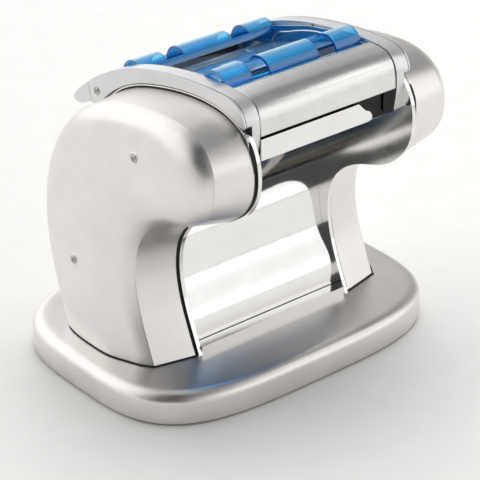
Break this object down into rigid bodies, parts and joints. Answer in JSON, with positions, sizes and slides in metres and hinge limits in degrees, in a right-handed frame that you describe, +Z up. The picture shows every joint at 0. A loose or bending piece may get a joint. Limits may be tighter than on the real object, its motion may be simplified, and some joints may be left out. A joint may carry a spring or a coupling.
{
  "type": "electric pasta maker",
  "caption": "Electric pasta maker with two crescent housings on a bowed base, sheet rollers, strip cutters, clear blue hand guard, thickness knob and power switch.",
  "frame": {"origin": "on the table under the middle of the bounding box", "axes": "+Z up, +X along the rollers to the gear side with the knob and switch, the cut pasta leaves towards -Y"},
  "size_m": [0.3202, 0.2502, 0.279],
  "materials": {
    "satin_shell": "satin silver paint on moulded shells",
    "polished_steel": "mirror-polished sheet",
    "brushed_cover": "fine brushed along X",
    "grey_plastic": "fine satin light grey",
    "black_plastic": "moulded black",
    "black_rubber": "matt",
    "clear_blue": "clear blue plastic",
    "roller_steel": "ground and plated",
    "gear_steel": "machined",
    "nylon": "natural white nylon",
    "bronze": "sintered",
    "motor_paint": "dark grey",
    "screw_steel": "plated"
  },
  "bodies": {
    "frame": {"base_cover": "satin_shell", "base_plate": "black_plastic", "base_feet": "black_rubber", "left_housing": "satin_shell", "right_housing": "satin_shell", "left_gasket": "black_rubber", "right_gasket": "black_rubber", "left_side_plate": "polished_steel", "right_side_plate": "polished_steel", "left_cheek": "grey_plastic", "right_cheek": "grey_plastic", "tie_rods": "gear_steel", "front_cover": "brushed_cover", "exit_strip": "polished_steel", "comb_carrier": "black_plastic", "carrier_lug": "black_plastic", "rear_cover": "brushed_cover", "back_wall": "polished_steel", "rear_panel": "satin_shell", "crossbar": "polished_steel", "guard_pins": "screw_steel", "roller_bushes": "bronze", "rear_comb": "nylon", "front_comb": "nylon", "roller_wiper": "nylon", "feed_chute": "black_plastic", "right_studs": "gear_steel", "left_studs": "gear_steel", "right_gear_plate": "gear_steel", "left_gear_plate": "gear_steel", "housing_screws": "screw_steel", "motor_housing": "motor_paint", "motor_bearings": "bronze", "knob_dial": "black_plastic", "switch_bezel": "black_plastic", "power_inlet": "black_plastic"},
    "hand_guard": {"guard": "clear_blue"},
    "motor_shaft": {"motor_rotor": "gear_steel", "motor_pinion": "gear_steel", "cooling_fan": "black_plastic"},
    "reduction": {"reduction_gear": "nylon"},
    "drive": {"drive_gear": "nylon"},
    "fixed_sheet_roller": {"rear_roller": "roller_steel", "rear_roller_gear": "gear_steel", "transfer_drive_gear": "gear_steel"},
    "roller_slide": {"bearing_blocks": "bronze"},
    "adjustable_sheet_roller": {"front_roller": "roller_steel", "front_roller_gear": "gear_steel"},
    "thickness_control": {"adjusting_shaft": "gear_steel", "thickness_knob": "black_plastic"},
    "transfer_1": {"transfer_gear_1": "nylon"},
    "transfer_2": {"transfer_gear_2": "nylon"},
    "transfer_3": {"transfer_gear_3": "nylon"},
    "rear_cutting_roller": {"rear_cutter": "roller_steel", "rear_cutter_gear": "gear_steel"},
    "front_cutting_roller": {"front_cutter": "roller_steel", "front_cutter_gear": "gear_steel"},
    "switch_rocker": {"power_rocker": "black_plastic"}
  },
  "joints": [
    {"name": "guard_hinge", "type": "hinge", "parent": "frame", "child": "hand_guard", "pos_m": [0, 0.0712, 0.222], "axis": [1, 0, 0], "range_deg": [-88, 0]},
    {"name": "motor_spin", "type": "hinge", "parent": "frame", "child": "motor_shaft", "pos_m": [0, 0.05122, 0.09793], "axis": [1, 0, 0], "continuous": true},
    {"name": "reduction_spin", "type": "hinge", "parent": "frame", "child": "reduction", "pos_m": [0, 0.03891, 0.13176], "axis": [1, 0, 0], "continuous": true},
    {"name": "drive_spin", "type": "hinge", "parent": "frame", "child": "drive", "pos_m": [0, 0.0425, 0.17285], "axis": [1, 0, 0], "continuous": true},
    {"name": "fixed_roller_spin", "type": "hinge", "parent": "frame", "child": "fixed_sheet_roller", "pos_m": [0, 0.05, 0.199], "axis": [1, 0, 0], "continuous": true},
    {"name": "roller_gap_slide", "type": "slide", "parent": "frame", "child": "roller_slide", "axis": [0, -1, 0], "range_m": [0, 0.002]},
    {"name": "adjustable_roller_spin", "type": "hinge", "parent": "roller_slide", "child": "adjustable_sheet_roller", "pos_m": [0, 0.0244, 0.199], "axis": [1, 0, 0], "continuous": true},
    {"name": "thickness_turn", "type": "hinge", "parent": "frame", "child": "thickness_control", "pos_m": [0, 0.0013, 0.199], "axis": [1, 0, 0], "range_deg": [0, 300]},
    {"name": "transfer_1_spin", "type": "hinge", "parent": "frame", "child": "transfer_1", "pos_m": [0, 0.02694, 0.21011], "axis": [1, 0, 0], "continuous": true},
    {"name": "transfer_2_spin", "type": "hinge", "parent": "frame", "child": "transfer_2", "pos_m": [0, 0.00227, 0.21952], "axis": [1, 0, 0], "continuous": true},
    {"name": "transfer_3_spin", "type": "hinge", "parent": "frame", "child": "transfer_3", "pos_m": [0, -0.0224, 0.22893], "axis": [1, 0, 0], "continuous": true},
    {"name": "rear_cutter_spin", "type": "hinge", "parent": "frame", "child": "rear_cutting_roller", "pos_m": [0, -0.047, 0.236], "axis": [1, 0, 0], "continuous": true},
    {"name": "front_cutter_spin", "type": "hinge", "parent": "frame", "child": "front_cutting_roller", "pos_m": [0, -0.0726, 0.236], "axis": [1, 0, 0], "continuous": true},
    {"name": "switch_turn", "type": "hinge", "parent": "frame", "child": "switch_rocker", "pos_m": [0.133, 0.0262, 0.122], "axis": [0, 1, 0], "range_deg": [-16, 0]}
  ],
  "couplings": [
    {"joint": "reduction_spin", "follows": "motor_spin", "ratio": -0.2},
    {"joint": "drive_spin", "follows": "motor_spin", "ratio": 0.044444},
    {"joint": "fixed_roller_spin", "follows": "motor_spin", "ratio": -0.05},
    {"joint": "adjustable_roller_spin", "follows": "motor_spin", "ratio": 0.05},
    {"joint": "transfer_1_spin", "follows": "motor_spin", "ratio": 0.05},
    {"joint": "transfer_2_spin", "follows": "motor_spin", "ratio": -0.047059},
    {"joint": "transfer_3_spin", "follows": "motor_spin", "ratio": 0.05},
    {"joint": "rear_cutter_spin", "follows": "motor_spin", "ratio": -0.05},
    {"joint": "front_cutter_spin", "follows": "motor_spin", "ratio": 0.05},
    {"joint": "thickness_turn", "follows": "roller_gap_slide", "rad_per_m": 2618}
  ]
}
